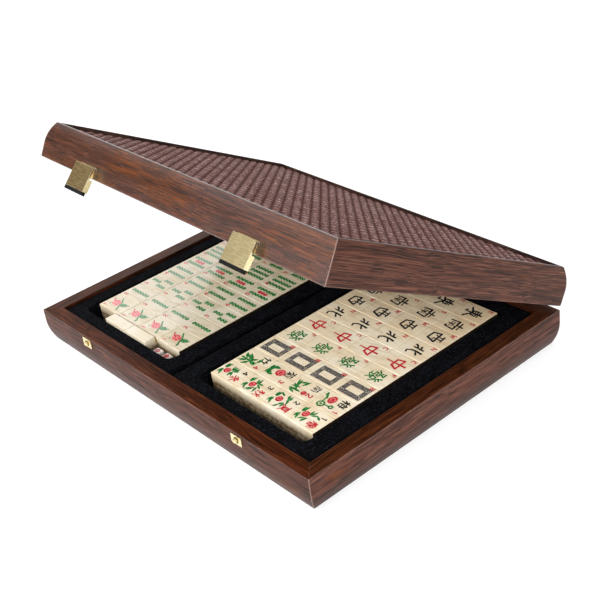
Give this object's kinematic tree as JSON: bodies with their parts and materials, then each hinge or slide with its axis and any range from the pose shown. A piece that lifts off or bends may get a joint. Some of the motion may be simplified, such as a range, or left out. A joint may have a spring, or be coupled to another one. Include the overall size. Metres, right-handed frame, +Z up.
{
  "type": "mahjong set",
  "caption": "Hinged wooden game case with a ribbed leather lid panel, brass flap clasps and flocked trays that hold blocks of marked ivory tiles, spare blanks and dice.",
  "frame": {"origin": "middle of the case's underside, on the surface it stands on", "axes": "+X to the right along the case's long side, +Y from the clasps to the hinges, +Z up"},
  "size_m": [0.353, 0.2844, 0.1903],
  "materials": {
    "walnut": "satin lacquered dark walnut",
    "leather": "woven brown leather, semi-matt",
    "black_flock": "black flock, matt",
    "tile_ivory": "polished ivory resin",
    "dice_white": "polished white resin",
    "brass": "fine satin brass",
    "steel": "plain steel",
    "black_pad": "matt black"
  },
  "bodies": {
    "base": {"base_front_rail": "walnut", "base_right_rail": "walnut", "base_back_rail": "walnut", "base_left_rail": "walnut", "base_floor": "walnut", "hinge_base_leaf_left": "brass", "hinge_base_leaf_right": "brass", "hinge_pin_left": "steel", "hinge_pin_right": "steel", "hinge_base_screws": "steel", "strike_plate_left": "brass", "strike_plate_right": "brass", "strike_stud_left": "brass", "strike_stud_right": "brass"},
    "lid": {"lid_front_rail": "walnut", "lid_right_rail": "walnut", "lid_back_rail": "walnut", "lid_left_rail": "walnut", "lid_board": "walnut", "lid_leather": "leather", "lid_lining": "black_flock", "hinge_lid_leaf_left": "brass", "hinge_lid_leaf_right": "brass", "hinge_lid_screws": "steel", "clasp_bracket_left": "brass", "clasp_bracket_right": "brass", "clasp_pin_left": "steel", "clasp_pin_right": "steel"},
    "clasp_left": {"clasp_flap_left": "brass", "clasp_pad_left": "black_pad"},
    "clasp_right": {"clasp_flap_right": "brass", "clasp_pad_right": "black_pad"},
    "tray_left": {"tray_left": "black_flock", "lower_tiles_left": "tile_ivory", "bamboo_1_tiles": "tile_ivory", "bamboo_2_tiles": "tile_ivory", "bamboo_3_tiles": "tile_ivory", "bamboo_4_tiles": "tile_ivory", "bamboo_5_tiles": "tile_ivory", "bamboo_6_tiles": "tile_ivory", "bamboo_7_tiles": "tile_ivory", "bamboo_8_tiles": "tile_ivory", "bamboo_9_tiles": "tile_ivory", "blank_tiles": "tile_ivory", "dice": "dice_white"},
    "tray_right": {"tray_right": "black_flock", "lower_tiles_right": "tile_ivory", "flower_tiles": "tile_ivory", "season_tiles": "tile_ivory", "white_dragon_tiles": "tile_ivory", "green_dragon_tiles": "tile_ivory", "red_dragon_tiles": "tile_ivory", "north_tiles": "tile_ivory", "west_tiles": "tile_ivory", "south_tiles": "tile_ivory", "east_tiles": "tile_ivory"}
  },
  "joints": [
    {"name": "lid_hinge", "type": "hinge", "parent": "base", "child": "lid", "pos_m": [0, 0.13975, 0.0318], "axis": [-1, 0, 0], "range_deg": [-29.2, 150.8]},
    {"name": "clasp_left_hinge", "type": "hinge", "parent": "lid", "child": "clasp_left", "pos_m": [-0.104, -0.09755, 0.17416], "axis": [-1, 0, 0], "range_deg": [-14, 76]},
    {"name": "clasp_right_hinge", "type": "hinge", "parent": "lid", "child": "clasp_right", "pos_m": [0.098, -0.09755, 0.17416], "axis": [-1, 0, 0], "range_deg": [-14, 76]},
    {"name": "tray_left_lift", "type": "slide", "parent": "base", "child": "tray_left", "axis": [0, 0, 1], "range_m": [0, 0.018]},
    {"name": "tray_right_lift", "type": "slide", "parent": "base", "child": "tray_right", "axis": [0, 0, 1], "range_m": [0, 0.018]}
  ]
}
